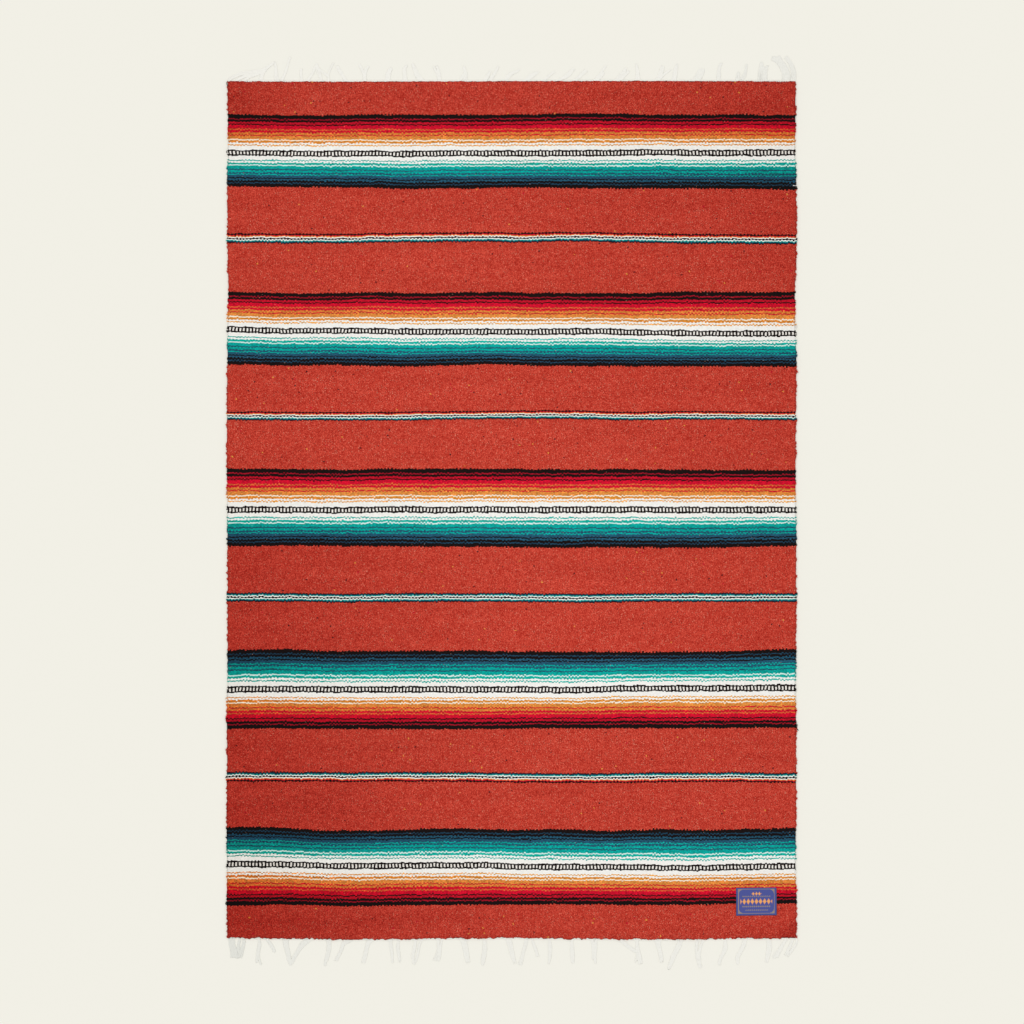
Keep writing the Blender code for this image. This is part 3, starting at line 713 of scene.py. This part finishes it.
# fringes: the white cotton warps, let go of by the weft and gathered into loose flat locks
fringe = {
    # locks are charted on squares of 2.321 mm, on which these are the cloth's left side and its two ends
    "square": 2.321, "leftLine": 227.3, "upperLine": 81.1, "lowerLine": 938.5,
    "yarnWidth": 0.0018, "yarnHeight": 0.0005, "pitch": 1.15, "points": 15, "sway": 0.0024,
    "swayLength": 0.012, "cotton": "#F4F2EA", "cottonShade": "#E2E2DA",
    "tipCut": 0.22, "greyShare": 0.9,
    # in mm: how far out and how high each yarn leaves the cloth, then how high it lies and how near
    "root": ((-1.6, 1.5), (0.6, 1.4)), "heights": (0.30, 0.50), "tipHeight": 0.28, "leastOut": 1.2,
    # painted shade that greys the locks: mm from the left selvedge, then a share
    "upperLockShade": [(930, 0.13), (1270, 0.48)],
    "lowerLockShade": [(30, 1.0), (75, 0.6), (180, 0.58), (430, 0.35), (1320, 0.29)],
    # each lock's course from the cloth outwards: along, across, width in squares
    "upper": [
        ((228.5, 80, 3.5), (233, 76.5, 3.5), (242, 73, 3.5), (253, 71, 3), (262, 69.5, 2.5),
                (275, 61, 1.5)),
        ((237, 80, 2.5), (244, 76, 3), (254, 74, 3), (261, 71.5, 2.5)),
        ((244, 80, 2), (250, 76.5, 2), (258, 73.5, 2), (262, 71, 1.5)),
        ((260.5, 80, 4), (261.5, 76, 3.5), (263, 72, 3), (267, 67.5, 2), (274.5, 61.5, 1.5)),
        ((277.5, 80, 4.5), (276, 76, 4.5), (275.8, 70, 3), (275.2, 61, 2)),
        ((281.5, 80, 3), (284, 75, 2.5), (287, 67, 2), (288.5, 61, 2), (290.5, 56, 1.5)),
        ((301.5, 80, 3), (301, 74, 2.5), (301, 67, 2)),
        ((307.5, 80, 2.5), (311, 75, 2.5), (314.5, 68, 2.5), (317, 62, 2)),
        ((321, 80, 3), (320, 75, 3), (317.5, 69, 4), (316.5, 63, 2)),
        ((328.5, 80, 2.5), (328, 76, 2), (323.5, 72, 2), (319, 68.5, 2), (316.5, 64, 1.5)),
        ((328.5, 80, 2), (328.5, 73, 2), (331, 67, 1.5), (334, 61.5, 2)),
        ((345.5, 80, 3), (342.5, 75, 2.5), (339, 69, 3), (336.5, 65, 2.5)),
        ((364.5, 80, 3.5), (364, 74, 3), (362, 69, 2.5), (359, 63, 2.5)),
        ((365.5, 80, 2), (365, 74, 2.5), (366.5, 68, 2.5), (369, 65, 2.5)),
        ((388, 80, 6), (388, 75, 5), (389.5, 70, 4), (392, 67, 3)),
        ((405, 80, 5), (404.5, 73, 3.5), (404.5, 68, 3), (407, 64, 1.5)),
        ((421, 80, 6), (417, 74, 5), (414.5, 68, 3), (412.5, 62.5, 2)),
        ((438.5, 80, 4), (438, 74, 3), (435, 69, 2), (433.2, 65, 1.5)),
        ((440, 80, 3), (439, 73, 3), (437.5, 67, 2.5), (436, 65, 2)),
        ((465.5, 80, 5), (465.5, 74, 4), (464.5, 69, 2.5), (463.5, 65.5, 2)),
        ((460, 80, 2), (462.5, 76, 2.5), (464, 73, 2)),
        ((490, 80, 4), (494, 74, 3), (497, 69, 2), (498.5, 65.5, 1.5)),
        ((485, 80, 4), (487.5, 76, 3.5), (489.5, 72, 2), (490.5, 70, 1.5)),
        ((506, 80, 4), (508, 76.5, 4.5), (512, 73, 3), (517, 71, 2), (520, 68.5, 1.2)),
        ((527.5, 80, 5), (530.5, 76, 5), (535, 73.5, 3.5), (539, 71.5, 1.5)),
        ((544.5, 80, 2.5), (547.5, 77, 2.5), (551, 74, 2), (555, 71, 2)),
        ((558, 80, 2), (563, 78, 3), (568, 75, 4), (571, 71.5, 3.5), (574.5, 68, 2)),
        ((575.5, 80, 3), (579, 77, 3), (583, 73, 3), (587, 70, 2.5)),
        ((595.5, 80, 3), (599, 76, 3), (603, 70, 2), (606.5, 65, 2)),
        ((598.5, 80, 2), (602, 75.5, 2), (604.5, 72, 1.5)),
        ((617.5, 80, 4), (620.5, 76, 4.5), (624.5, 71, 3), (626, 67.5, 1.5)),
        ((621, 80, 3), (625, 75, 2.5), (629.5, 70.5, 2.5)),
        ((637.8, 80, 5), (637.5, 72, 3.5), (636.3, 63, 1.5)),
        ((657.5, 80, 4), (660.5, 74, 4), (662.5, 68, 4), (662.8, 65, 3)),
        ((659, 80, 2.5), (665, 73.5, 2), (671, 69.5, 1.5)),
        ((674, 80, 5), (675, 74, 4.5), (676, 68, 3.5), (677, 63.5, 1.5)),
        ((697, 80, 8), (699.5, 75, 7), (701.5, 70, 6.5), (701.5, 68, 5)),
        ((718.7, 80, 4), (718.8, 74, 4), (719.5, 67, 3), (722, 62.5, 2)),
        ((737.5, 80, 4), (738, 75, 3.5), (739.3, 71.5, 2)),
        ((741.5, 80, 5), (744.5, 75, 4), (746, 69, 2.5), (746.8, 63.5, 1.8)),
        ((762.5, 80, 10), (762.5, 73, 9), (762, 67, 5), (761.3, 61.5, 2.5)),
        ((765, 80, 4), (765, 74, 4), (766, 69, 3.5), (768, 65, 1.5)),
        ((786.5, 80, 10), (786, 73, 8), (783, 66, 7), (778, 60, 6), (771.5, 57.5, 3.5)),
        ((787, 80, 5), (787, 74, 5), (785, 68, 5), (781, 61, 4), (778.5, 55, 2.5)),
        ((793.5, 80, 5), (794, 74, 5), (792, 66, 4.5), (788, 59, 3.5), (785, 56.5, 3))],
    "lower": [
        ((231.5, 940, 6.5), (232, 946, 6), (233.5, 953, 6), (233, 959, 6)),
        ((239.5, 940, 2.5), (238.5, 946, 2.5), (237.5, 953, 5), (237, 959.5, 4.5)),
        ((244, 940, 3), (243.5, 945, 3), (241.5, 952, 4), (240, 958.5, 4.5)),
        ((259, 940, 2), (259.3, 946, 3.5), (257.5, 955, 3), (256.5, 963.5, 2)),
        ((259, 940, 1.5), (259, 948, 2), (258.5, 957, 2), (261, 965.5, 2)),
        ((267, 940, 3), (270, 944, 3), (272.5, 948, 3), (274.5, 953, 2.5)),
        ((285.5, 940, 6.5), (286, 946, 5), (288, 954, 4.5), (289.5, 962, 3.5), (291, 965.5, 2)),
        ((307, 940, 6), (302, 945, 5), (298, 951, 3.5), (294, 958, 3.5), (291.5, 964, 2)),
        ((328.5, 940, 5), (329, 946, 4), (328, 953, 4), (326, 960, 3), (324.5, 965.5, 2)),
        ((347.5, 940, 6), (343.5, 943, 3.5), (341, 950, 2.5), (338, 956, 3), (335.5, 960.5, 3)),
        ((369.5, 940, 6), (367.5, 944, 4), (366, 951, 3.5), (364.5, 957, 4), (363, 963, 3.5)),
        ((390.5, 940, 3.5), (391, 946, 3), (392, 953, 2), (392.5, 963, 1.8)),
        ((398.5, 940, 2.5), (397.8, 947, 3), (399, 954, 2.5), (400, 962, 2.2)),
        ((415.5, 940, 2.5), (414.5, 947, 3), (413, 955, 3), (413.7, 965, 2.5)),
        ((421.5, 940, 2), (419, 946, 2), (417.5, 955, 2), (415, 963, 1.5)),
        ((438, 940, 2.5), (438.5, 948, 3), (437, 955, 4), (434, 961.5, 3)),
        ((442, 940, 1.5), (440.5, 948, 2), (439.5, 956, 2.5), (438, 961.5, 2)),
        ((463.5, 940, 6), (465, 947, 5.5), (466.5, 955, 5), (468, 963.5, 4)),
        ((484.5, 940, 4), (484.8, 948, 4), (484, 956, 4), (483, 961, 4), (482.5, 966, 1.2)),
        ((508.5, 940, 6), (510.5, 947, 5), (512.5, 956, 4), (515, 964.5, 2.5)),
        ((526.5, 940, 4), (525, 947, 3.5), (523, 954, 3), (521.5, 961, 3.5), (519.5, 966, 4)),
        ((532, 940, 2), (534.5, 947, 2.5), (536.5, 953, 2.5), (538, 957.5, 2.5)),
        ((549.5, 940, 3), (550, 947, 4), (550, 955, 3), (548.8, 965, 1.5)),
        ((572, 940, 2.5), (572, 947, 3.5), (572.5, 955, 4), (573, 963.5, 2.5)),
        ((592, 940, 3), (593.5, 948, 3), (593.5, 961, 3)),
        ((596, 940, 3), (595.5, 948, 3), (595, 956, 2.5), (595.5, 964, 1.5)),
        ((621.5, 940, 4), (626, 944, 3.5), (631, 948, 3), (637, 951, 2.5)),
        ((637, 940, 3), (637.5, 948, 3.5), (639, 955, 4.5), (641, 964, 4)),
        ((637, 940, 1), (637.5, 950, 1.5), (637, 957, 2), (634.5, 962.5, 1.5)),
        ((658, 940, 6.5), (658.5, 945, 4.5), (660.5, 952, 3.5), (662, 962.5, 4.5)),
        ((680.5, 940, 5), (678.5, 946, 5), (675, 953, 4.5), (671.5, 961, 4), (668.5, 969, 2.5)),
        ((697.5, 940, 3), (696.5, 948, 2.5), (697.5, 957, 3), (701, 968.5, 4)),
        ((703.5, 940, 2.5), (700.5, 947, 2.5), (699, 955, 3), (699.5, 963, 3)),
        ((725, 940, 3), (725.5, 947, 4.5), (723.5, 953, 3.5), (720.5, 959, 2.5), (719, 965.5, 3.5)),
        ((745, 940, 4), (743.5, 946, 4), (740, 953, 3.5), (737.5, 958, 3.5), (738, 965, 2)),
        ((768.5, 940, 5), (769.5, 948, 4.5), (768, 955, 4.5), (766.5, 963.5, 2.5)),
        ((786, 940, 3), (783, 945, 3), (779, 951, 3), (775, 957, 4), (773, 958.5, 3)),
        ((785, 940, 2), (781.5, 949, 2.5), (779, 954, 2.5), (776.5, 958.5, 3)),
        ((793, 940, 2.5), (791, 945, 2.5), (788, 951, 3), (785, 956.5, 2.5)),
        ((797, 940, 2), (796, 945, 2), (792, 951, 2.5), (787, 957.5, 3))],
}


def lockPaths(locks, shades, endLine, edge, outward, seed):
    # one path for each yarn: out of the cloth's end, along it to the nearest lock, and down that lock
    chance = random.Random(seed)
    square = fringe["square"]
    courses = [[((x - fringe["leftLine"]) * square, outward * (endLine - y) * square, width * square)
                for x, y, width in course] for course in locks]
    nearest = [[] for course in courses]
    for warp in range(weave["warps"]):
        x = (warp + 0.5) * panel["width"] / mm / weave["warps"]
        nearest[min(range(len(courses)), key=lambda number: abs(courses[number][0][0] - x))].append(x)
    paths, lockShades = [], []
    for course, warps in zip(courses, nearest):
        warps = warps or [course[0][0]]
        wide = sum(width for x, out, width in course) / len(course)
        count = max(len(warps), round(wide / fringe["pitch"]), 2)
        for rank in range(count):
            slot = 2 * (rank + 0.5) / count - 1
            warp = warps[rank * len(warps) // count]
            high = chance.uniform(*fringe["heights"])
            toRoot = course[0][0] + slot * course[0][2] / 2
            path = [(warp, *place) for place in fringe["root"]]
            path.append((warp + 0.6 * (toRoot - warp), 1.0 + 0.8 * chance.random(), 0.9))
            for step, (x, out, width) in enumerate(course):
                before, after = course[max(step - 1, 0)], course[min(step + 1, len(course) - 1)]
                run = math.hypot(after[0] - before[0], after[1] - before[1])
                sideX, sideOut = (after[1] - before[1]) / run, (before[0] - after[0]) / run
                place = (x + slot * sideX * width / 2,
                         max(out + slot * sideOut * width / 2, fringe["leastOut"]))
                if step == len(course) - 1:  # tips are cut unevenly
                    short = fringe["tipCut"] * chance.random()
                    place = tuple(now + short * (last - now) for now, last in zip(place, path[-1]))
                path.append((*place, high + (fringe["tipHeight"] - high) * step / len(course)))
            paths.append([(left + x * mm, edge(left + x * mm) + outward * out * mm, z * mm)
                          for x, out, z in path])
            # each yarn's painted shade, by where its lock leaves the cloth
            lockShades.append(alongChart(shades, course[0][0]))
    return paths, lockShades


def yarnTree(values):
    tree, add, take = newTree("looseYarns", values)
    curve = add("GeometryNodeMeshToCurve", take["Geometry"])
    curve = add("GeometryNodeCurveSplineType", curve, spline_type="CATMULL_ROM")
    curve = add("GeometryNodeResampleCurve", curve, {"Count": take["Points"]})
    along = add("GeometryNodeSplineParameter").outputs["Factor"]
    waves = add("TexNoise", {"Vector": add("GeometryNodeInputPosition"), "Detail": 1.0,
                             "W": add("GeometryNodeInputNamedAttribute", "yarn"),
                             "Scale": add("Math:DIVIDE", 1.0, take["Sway Length"])},
                noise_dimensions="4D")
    offset = add("VectorMath:SUBTRACT", waves.outputs["Color"], (0.5, 0.5, 0.5))
    offset = add("VectorMath:MULTIPLY", offset, (1.0, 1.0, 0.1))
    loose = add("Math:MULTIPLY", along, take["Sway"])
    offset = add("VectorMath:SCALE", offset, loose)
    curve = add("GeometryNodeSetPosition", curve, {"Offset": offset})
    curve = add("GeometryNodeSetCurveNormal", curve, mode="Z_UP")
    thin = add("MapRange", along, 0.88, 1.0, 1.0, 0.6)
    lumps = add("Math:MULTIPLY_ADD", waves, 0.8, 0.6)
    radius = add("Math:MULTIPLY", thin, lumps)
    curve = add("GeometryNodeSetCurveRadius", curve, {"Radius": radius})
    profile = add("GeometryNodeCurvePrimitiveCircle", {"Resolution": 6, "Radius": 0.5})
    oval = add("CombineXYZ", take["Yarn Width"], take["Yarn Height"], 1.0)
    profile = add("GeometryNodeTransform", profile, {"Scale": oval})
    tube = add("GeometryNodeCurveToMesh", {"Curve": curve, "Profile Curve": profile, "Fill Caps": True})
    return endTree(tree, add("GeometryNodeSetShadeSmooth", tube), take["Finish"])


def growYarns(name, paths, values, look, finish):
    # a yarn along each of these paths, with the size and sway that look says. Each of its points has the
    # yarn's number and its values.
    values = {"yarn": [number * 1.7 for number in range(len(paths))], **values}
    perPoint = {key: [value for value, path in zip(numbers, paths) for point in path]
                for key, numbers in values.items()}
    points, edges = [], []
    for path in paths:
        edges += [(len(points) + step, len(points) + step + 1) for step in range(len(path) - 1)]
        points += path
    return grow(name, carrierMesh(points, edges, perPoint), yarnTree, {
        "Yarn Width": look["yarnWidth"], "Yarn Height": look["yarnHeight"], "Points": look["points"],
        "Sway": look["sway"], "Sway Length": look["swayLength"], "Finish": finish})


def cottonYarn():
    # undyed two-ply cotton: soft, matt, off-white, greyer in random clouds and where a lock carries painted
    # shade
    made, add = newMaterial("undyedCottonYarn", 0.9, 0.04)
    plan = add("TexCoord").outputs["Object"]
    lockShade = add("Attribute", attribute_name="lockShade").outputs["Fac"]
    cloudy = add("TexNoise", plan, {"Scale": 260.0, "Detail": 3.0})
    cloudy = add("Math:MULTIPLY_ADD", cloudy, fringe["greyShare"], -fringe["greyShare"] / 2)
    tone = add("Math:ADD", cloudy, lockShade, use_clamp=True)
    colour = add("Mix:RGBA", tone, linear(fringe["cotton"]), linear(fringe["cottonShade"]))
    plies = add("TexNoise", plan, {"Scale": 1400.0, "Detail": 1.0})
    return finished(made, colour, plies, 0.25, 0.0003)


def buildFringe(name, locks, shades, endLine, edge, outward, seed, finish):
    paths, lockShades = lockPaths(locks, shades, endLine, edge, outward, seed)
    return growYarns(name, paths, {"lockShade": lockShades}, fringe, finish)


# yarn ends that were never darned in: course as (mm from the left selvedge, mm down, height), and the
# pick whose colour each has
tails = {
    "yarnWidth": 0.0014, "yarnHeight": 0.0011, "points": 14, "sway": 0.0008, "swayLength": 0.004,
    "courses": [
        (((1314.0, 1498.0, 3.2), (1318.5, 1500.5, 2.8), (1323.0, 1504.5, 1.2), (1326.0, 1507.0, 0.7)), 3),
        (((1312.0, 1497.0, 3.2), (1317.0, 1499.5, 2.9), (1321.5, 1502.0, 1.6), (1324.0, 1505.0, 0.7)), 3),
        (((1312.5, 241.6, 3.3), (1317.0, 242.4, 3.0), (1321.5, 242.2, 1.8), (1324.8, 241.6, 0.8)), 60),
        (((1313.0, 245.5, 3.2), (1318.5, 246.2, 3.0), (1322.5, 247.5, 1.6), (1323.5, 249.8, 0.8)), 3),
        (((4.0, 160.2, 3.2), (0.8, 160.8, 3.0), (-1.6, 162.6, 1.8), (-1.4, 166.0, 1.2)), 65),
        (((3.0, 12.0, 3.2), (-0.6, 8.0, 2.6), (-1.4, 3.0, 1.6), (1.0, -1.0, 0.8)), 3)],
}


def buildTails(finish):
    paths = [[(left + x * mm, upperEnd - down * mm, z * mm) for x, down, z in course]
             for course, pick in tails["courses"]]
    picks = [pick + 0.5 for course, pick in tails["courses"]]
    return growYarns("yarnTails", paths, {"pick": picks}, tails, finish)


# the label: a folded strip of satin, sewn down near the lower right corner
label = {
    "width": 94.0, "height": 64.0, "thick": 1.0, "fromRight": 45.5, "fromBottom": 53.0, "pitch": 2.0,  # mm
    "thread": 0.55,  # mm: drawn about three times as coarse as the real threads
    "frameX": 41.4, "frameY": 28.0, "middleX": 47.0, "middleY": 33.1, "frameLine": 0.75, "bracket": 12.0,
    "bracketLine": 0.6, "goldShare": 0.74, "rimBulge": 0.0002,
    "sewnDown": ((1, 0.4), (3, 0.12)), "loft": 0.08,  # mm from the sides and mm of drop; its waves in mm
    # hem: the dark of the folded sides, partly their sewn hem and partly painted shade
    "field": "#485092", "hem": "#38486A", "hemWidth": 1.0, "tan": "#8F8079", "gold": "#E9A660",
    "rust": "#C58774", "stitch": "#27506B",
    "stitchInset": 1.3, "stitchStep": 3.6, "stitchLength": 2.5, "stitchThick": 0.5,
    "stitchTurn": 0.12,
    # rows of stepped diamonds: height of the middle, height, pitch, reach to each side
    "bigRow": (32.5, 15.0, 9.4, 37.0), "crown": (50.4, 9.0, 7.2, 12.0),
    "smallRows": ((44.4, 3.4, 4.4, 33.0), (20.8, 4.4, 4.4, 33.0), (12.2, 3.6, 4.4, 26.4)),
}


def labelPlace(along, up):
    # the place on the cloth at these mm from the label's left side and lower edge
    across = 1 - (label["fromRight"] + label["width"] - along) * mm / panel["width"]
    down = 1 - (label["fromBottom"] + up) * mm / panel["length"]
    return (*panelPlace(across, down), panelTop(across, down))


def buildLabel(finish):
    pitch, wide, high = label["pitch"], label["width"], label["height"]

    def place(row, column):
        along, up = pitch * column, high - pitch * row
        x, y, z = labelPlace(along, up)
        fromSide = min(along, wide - along, up, high - up)
        fold = next((-drop for reach, drop in label["sewnDown"] if fromSide < reach), 0)
        loft = label["loft"] * math.sin(along * 0.31 + up * 0.17)
        return ((x, y, z + (label["thick"] + fold + loft) * mm + panel["seamGap"]),
                (x, y, z + panel["seamGap"] + (0.1 * mm if fromSide < 1 else 0)))

    def corners(row, column):
        start, end = pitch * column, pitch * (column + 1)
        upper, lower = high - pitch * row, high - pitch * (row + 1)
        return [(start, upper), (start, lower), (end, lower), (end, upper)]

    mesh = shellMesh("sewnLabel", round(high / pitch) + 1, round(wide / pitch) + 1, place, corners, corners,
                     label["rimBulge"])
    return newObject("sewnLabel", mesh, finish)


def diamondRow(add, centred, across, row, size):
    # 1 inside a row of diamonds of this share of their full size
    up, height, pitch, reach = row
    far = (pitch / 2, 999, 9)
    cell = add("VectorMath:WRAP", centred, far, tuple(-side for side in far))
    cell = add("VectorMath:SUBTRACT", cell, (0, up - label["middleY"], 0))
    cell = add("VectorMath:ABSOLUTE", cell)
    out = add("VectorMath:DOT_PRODUCT", cell, (2.1 / pitch, 2 / height, 0))
    inside = add("Math:LESS_THAN", out, size)
    return add("Math:MULTIPLY", inside, add("Math:LESS_THAN", across, reach))


def damaskSatin():
    # satin woven of fine blue thread with a figure of gold: smooth and softly shining, all of it flat
    made, add = newMaterial("damaskSatin", 0.6, 0.2)

    def outermost(past):
        # more than 0 outside the rectangle past whose corner these distances are
        parts = add("SeparateXYZ", past)
        return add("Math:MAXIMUM", parts, parts.outputs[1])

    place = add("UVMap", uv_map="weave")
    counted = add("VectorMath:SNAP", place, (2 * label["thread"],) * 3)
    middle = (label["middleX"] - label["thread"], label["middleY"] - label["thread"], 0)
    centred = add("VectorMath:SUBTRACT", counted, middle)
    sides = add("VectorMath:ABSOLUTE", centred)
    across = add("SeparateXYZ", sides)
    # the frame line, and a rounded bracket in each of its corners
    past = add("VectorMath:SUBTRACT", sides, (label["frameX"], label["frameY"], 0))
    outside = outermost(past)
    frameLine = add("Math:COMPARE", outside, 0.0, label["frameLine"])
    turned = add("VectorMath:ADD", past, (label["bracket"], label["bracket"], 0))
    turned = add("VectorMath:LENGTH", add("VectorMath:MAXIMUM", turned, (0, 0, 0)))
    bracket = add("Math:GREATER_THAN", turned, label["bracket"] - label["bracketLine"])
    within = add("Math:LESS_THAN", outside, 0.0)
    bracket = add("Math:MULTIPLY", bracket, within)
    fine = add("Math:MAXIMUM", frameLine, bracket)
    for row in label["smallRows"]:
        fine = add("Math:MAXIMUM", fine, diamondRow(add, centred, across, row, 1.0))
    colour = add("Mix:RGBA", fine, linear(label["field"]), linear(label["tan"]))
    for row in (label["bigRow"], label["crown"]):
        for size, shade in ((1.0, "rust"), (label["goldShare"], "gold")):
            figure = diamondRow(add, centred, across, row, size)
            colour = add("Mix:RGBA", figure, colour, linear(label[shade]))
    # the folded sides but for the upper one are drawn dark: partly their sewn hem, partly painted shade
    wide, high, hem = label["width"] / 2, label["height"], label["hemWidth"]
    hemmed = add("VectorMath:ABSOLUTE", add("VectorMath:SUBTRACT", place, (wide, high, 0)))
    hemmed = add("VectorMath:SUBTRACT", hemmed, (wide - hem, high - hem, 0))
    onHem = add("Math:GREATER_THAN", outermost(hemmed), 0.0)
    colour = add("Mix:RGBA", onHem, colour, linear(label["hem"]))
    threads = add("Mapping", place, {"Scale": (0.7, 4.2, 1)})
    threads = add("TexNoise", threads, {"Scale": 1.0, "Detail": 1.0})
    tint = add("Math:MULTIPLY_ADD", threads, 0.25, 0.88)
    colour = add("VectorMath:SCALE", colour, tint)
    return finished(made, colour, threads, 0.3, 0.0002)


def stitchTree(values):
    tree, add, take = newTree("runningStitch", values)
    stitch = add("GeometryNodeMeshUVSphere", {"Segments": 6, "Rings": 5, "Radius": 0.5})
    size = add("CombineXYZ", take["Length"], take["Thickness"], take["Thickness"])
    stitch = add("GeometryNodeTransform", stitch, {"Scale": size})
    stitch = add("GeometryNodeSetShadeSmooth", stitch)
    heading = add("GeometryNodeInputNamedAttribute", "heading")
    wobble = add("FunctionNodeRandomValue", -1.0, 1.0, {"Seed": take["Seed"]})
    turn = add("Math:MULTIPLY_ADD", wobble, take["Unevenness"], heading)
    placed = add("GeometryNodeInstanceOnPoints", take["Geometry"],
                 {"Instance": stitch, "Rotation": add("CombineXYZ", 0, 0, turn)})
    return endTree(tree, placed, take["Finish"])


def sewingThread():
    # two-ply polyester: dark blue, smooth and a little shiny, lighter where the plies cross
    made, add = newMaterial("polyesterSewingThread", 0.5, 0.3)
    plies = add("TexNoise", add("TexCoord").outputs["Object"], {"Scale": 1600.0, "Detail": 1.0})
    tint = add("Math:MULTIPLY_ADD", plies, 0.7, 0.65)
    colour = add("VectorMath:SCALE", linear(label["stitch"])[:3], tint)
    return finished(made, colour, plies, 0.4, 0.0001)


def buildStitches(finish):
    inset, step = label["stitchInset"], label["stitchStep"]
    wide, high = label["width"], label["height"]
    places = []
    for count in range(int((wide - 2 * inset) / step)):
        along = inset + step * (count + 0.6)
        places += [(along, inset, 0.0), (along, high - inset, 0.0)]
    for count in range(int((high - 2 * inset) / step)):
        up = inset + step * (count + 0.7)
        places += [(inset, up, math.pi / 2), (wide - inset, up, math.pi / 2)]
    points = []
    for along, up, heading in places:
        x, y, z = labelPlace(along, up)
        points.append((x, y, z + panel["seamGap"] + (label["thick"] - 0.1) * mm))
    carrier = carrierMesh(points, [], {"heading": [heading for along, up, heading in places]})
    return grow("labelStitches", carrier, stitchTree, {
        "Length": label["stitchLength"] * mm, "Thickness": label["stitchThick"] * mm,
        "Unevenness": label["stitchTurn"], "Seed": 8, "Finish": finish})


# stage: pale paper floor, an even dome of light and one broad soft sun from the upper left
stage = {
    "floor": "#F2F0E6", "floorReach": 30, "dome": 0.87, "sun": 0.50, "sunSpread": math.radians(60),
    "sunFrom": (-0.42, 0.62, 1.0), "floorLevel": -0.0001,
    "scale": 0.002321, "pixels": 1024, "centre": (0.0008, 0.0015), "height": 6.0,  # the camera's
}


def buildStage():
    paper = newMaterial("paleStudioPaper", 0.95, 0.0)[0]
    paper.node_tree.nodes["Principled BSDF"].inputs["Base Color"].default_value = linear(stage["floor"])
    mesh = bpy.data.meshes.new("studioFloor")
    reach = stage["floorReach"]
    corners = [(x * reach, y * reach, stage["floorLevel"]) for x, y in ((-1, -1), (1, -1), (1, 1), (-1, 1))]
    mesh.from_pydata(corners, [], [(0, 1, 2, 3)])
    newObject("studioFloor", mesh, paper)
    world = bpy.data.worlds.new("studioDome")
    bpy.context.scene.world = world
    world.use_nodes = True
    background = world.node_tree.nodes["Background"]
    background.inputs[0].default_value = (1, 1, 1, 1)
    background.inputs[1].default_value = stage["dome"]
    light = bpy.data.lights.new("softSun", "SUN")
    light.energy = stage["sun"]
    light.angle = stage["sunSpread"]
    sun = newObject("softSun", light)
    sun.rotation_euler = Vector(stage["sunFrom"]).to_track_quat("Z", "Y").to_euler()
    camera = bpy.data.cameras.new("overhead")
    seen = stage["pixels"] * stage["scale"]
    camera.lens = camera.sensor_width * (stage["height"] - panel["wall"]) / seen
    camera.clip_end = 50
    overhead = newObject("overhead", camera)
    overhead.location = (*stage["centre"], stage["height"])
    bpy.context.scene.camera = overhead
    bpy.context.scene.view_settings.view_transform = "Standard"


buildStage()
print("stage: floor, dome, sun and camera")
weft = woolWeft(loomRows()[-1]["above"])
cloth = buildPanel(weft)
print("panel:", len(cloth.data.polygons), "faces")
yarn = weftYarn()
selvedges = buildTurns(yarn)
print("selvedges:", len(selvedges.data.polygons), "faces")
cotton = cottonYarn()
upperFringe = buildFringe("upperFringe", fringe["upper"], fringe["upperLockShade"],
                          fringe["upperLine"], upperEdge, 1, 3, cotton)
lowerFringe = buildFringe("lowerFringe", fringe["lower"], fringe["lowerLockShade"],
                          fringe["lowerLine"], lowerEdge, -1, 4, cotton)
print("fringes:", len(upperFringe.data.polygons), "and", len(lowerFringe.data.polygons), "faces")
yarnTails = buildTails(yarn)
sewnLabel = buildLabel(damaskSatin())
stitches = buildStitches(sewingThread())
print("label:", len(sewnLabel.data.polygons), "faces, stitches:", len(stitches.data.polygons), "faces")

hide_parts("woven_cloth")
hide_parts("fringe_top")
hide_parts("fringe_bottom")
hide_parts("label")
for piece, slot in ((cloth, "woven_wool"), (selvedges, "woven_wool"), (yarnTails, "woven_wool"),
                    (upperFringe, "warp_cotton"), (lowerFringe, "warp_cotton"),
                    (sewnLabel, "label_satin"), (stitches, "label_satin")):
    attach(piece, "root")
